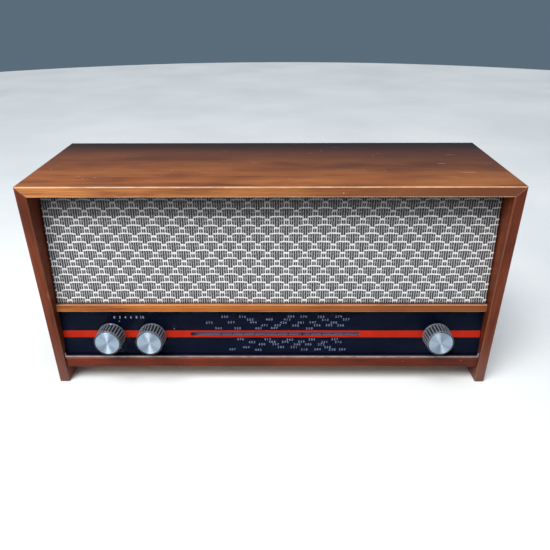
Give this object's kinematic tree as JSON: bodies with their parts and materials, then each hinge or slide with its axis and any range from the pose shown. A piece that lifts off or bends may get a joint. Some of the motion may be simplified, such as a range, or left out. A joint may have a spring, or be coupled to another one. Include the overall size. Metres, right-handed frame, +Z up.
{
  "type": "mains table radio in a wooden case",
  "caption": "Mains table radio: mitred wooden case standing on its side panels, woven cloth front that leans back, glass tuning dial and fluted control knobs.",
  "frame": {"origin": "on the ground, under the middle of the whole object's box, control knobs included", "axes": "+X to the right seen from the front, +Y from the front to the back, +Z up"},
  "size_m": [0.48, 0.1762, 0.23],
  "materials": {
    "case_veneer": "red-brown veneer, lacquered, satin gloss",
    "light_rail": "lighter veneer, lacquered, satin gloss",
    "plywood": "bare plywood",
    "hardboard": "brown hardboard, smooth face out",
    "grille_cloth": "white and black-brown woven cloth",
    "dial_glass": "polished",
    "dial_print": "black printed mask with a red stripe",
    "cream_plastic": "cream moulding",
    "lamp_glass": "clear bulb",
    "pointer_black": "painted",
    "nylon": "natural nylon",
    "knob_black": "black fluted moulding, semi-gloss",
    "spun_aluminium": "spun face, radial highlight",
    "sheet_aluminium": "plain sheet",
    "plated_steel": "cadmium plated",
    "brass": "plain",
    "lamination_iron": "varnished laminations",
    "winding": "taped copper winding",
    "phenolic_board": "phenolic paper board",
    "ferrite": "fired, unglazed",
    "cone_paper": "pressed black paper",
    "rubber": "moulded"
  },
  "bodies": {
    "case": {"top_panel": "case_veneer", "left_side_panel": "case_veneer", "right_side_panel": "case_veneer", "bottom_rail": "case_veneer", "middle_rail": "light_rail", "bottom_panel": "plywood", "speaker_baffle": "plywood", "left_back_batten": "plywood", "right_back_batten": "plywood", "grille_cloth": "grille_cloth", "dial_glass": "dial_glass", "dial_mask": "dial_print", "dial_channel": "cream_plastic", "dial_reflector": "cream_plastic", "left_dial_lamp": "lamp_glass", "right_dial_lamp": "lamp_glass", "dial_cord": "nylon", "left_rod_holder": "nylon", "right_rod_holder": "nylon", "volume_control": "plated_steel", "tone_control": "plated_steel", "tuning_bush": "brass", "gang_frame": "plated_steel", "gang_stator": "sheet_aluminium", "chassis": "plated_steel", "circuit_board": "phenolic_board", "if_can_1": "sheet_aluminium", "if_can_2": "sheet_aluminium", "output_heatsink": "sheet_aluminium", "output_transistor_1": "plated_steel", "output_transistor_2": "plated_steel", "transformer_core": "lamination_iron", "transformer_coil": "winding", "smoothing_capacitor": "sheet_aluminium", "ferrite_rod": "ferrite", "aerial_coil": "winding", "speaker_frame": "plated_steel", "speaker_cone": "cone_paper", "speaker_magnet": "ferrite", "back_panel": "hardboard", "back_screw_1": "brass", "back_screw_2": "brass", "back_screw_3": "brass", "back_screw_4": "brass", "cable_grommet": "rubber", "aerial_socket_strip": "phenolic_board"},
    "volume": {"volume_shaft": "plated_steel", "volume_knob": "knob_black", "volume_knob_cap": "spun_aluminium"},
    "tone": {"tone_shaft": "plated_steel", "tone_knob": "knob_black", "tone_knob_cap": "spun_aluminium"},
    "tuning": {"tuning_spindle": "brass", "tuning_knob": "knob_black", "tuning_knob_cap": "spun_aluminium"},
    "drum": {"gang_rotor": "sheet_aluminium", "dial_drum": "nylon"},
    "needle": {"dial_pointer": "pointer_black"},
    "left_wheel": {"left_pulley": "nylon"},
    "right_wheel": {"right_pulley": "nylon"}
  },
  "joints": [
    {"name": "volume_turn", "type": "hinge", "parent": "case", "child": "volume", "pos_m": [-0.174, -0.06759, 0.05926], "axis": [0, 0.9943, -0.1063], "range_deg": [-150, 150]},
    {"name": "tone_turn", "type": "hinge", "parent": "case", "child": "tone", "pos_m": [-0.1295, -0.06759, 0.05926], "axis": [0, 0.9943, -0.1063], "range_deg": [-150, 150]},
    {"name": "tuning_turn", "type": "hinge", "parent": "case", "child": "tuning", "pos_m": [0.1795, -0.06759, 0.05926], "axis": [0, 0.9943, -0.1063], "range_deg": [-1625, 800]},
    {"name": "gang_turn", "type": "hinge", "parent": "case", "child": "drum", "pos_m": [0.104, -0.04546, 0.08747], "axis": [0, 0.9943, -0.1063], "range_deg": [-120.5, 59.5]},
    {"name": "pointer_travel", "type": "slide", "parent": "case", "child": "needle", "axis": [1, 0, 0], "range_m": [-0.1135, 0.056]},
    {"name": "left_pulley_turn", "type": "hinge", "parent": "case", "child": "left_wheel", "pos_m": [-0.104, -0.0515, 0.07806], "axis": [0, 0.9943, -0.1063], "range_deg": [-1084, 534]},
    {"name": "right_pulley_turn", "type": "hinge", "parent": "case", "child": "right_wheel", "pos_m": [0.186, -0.0515, 0.07806], "axis": [0, 0.9943, -0.1063], "range_deg": [-1084, 534]}
  ],
  "couplings": [
    {"joint": "gang_turn", "follows": "tuning_turn", "ratio": 0.074074},
    {"joint": "pointer_travel", "follows": "tuning_turn", "m_per_rad": 0.004},
    {"joint": "left_pulley_turn", "follows": "tuning_turn", "ratio": 0.66667},
    {"joint": "right_pulley_turn", "follows": "tuning_turn", "ratio": 0.66667}
  ]
}
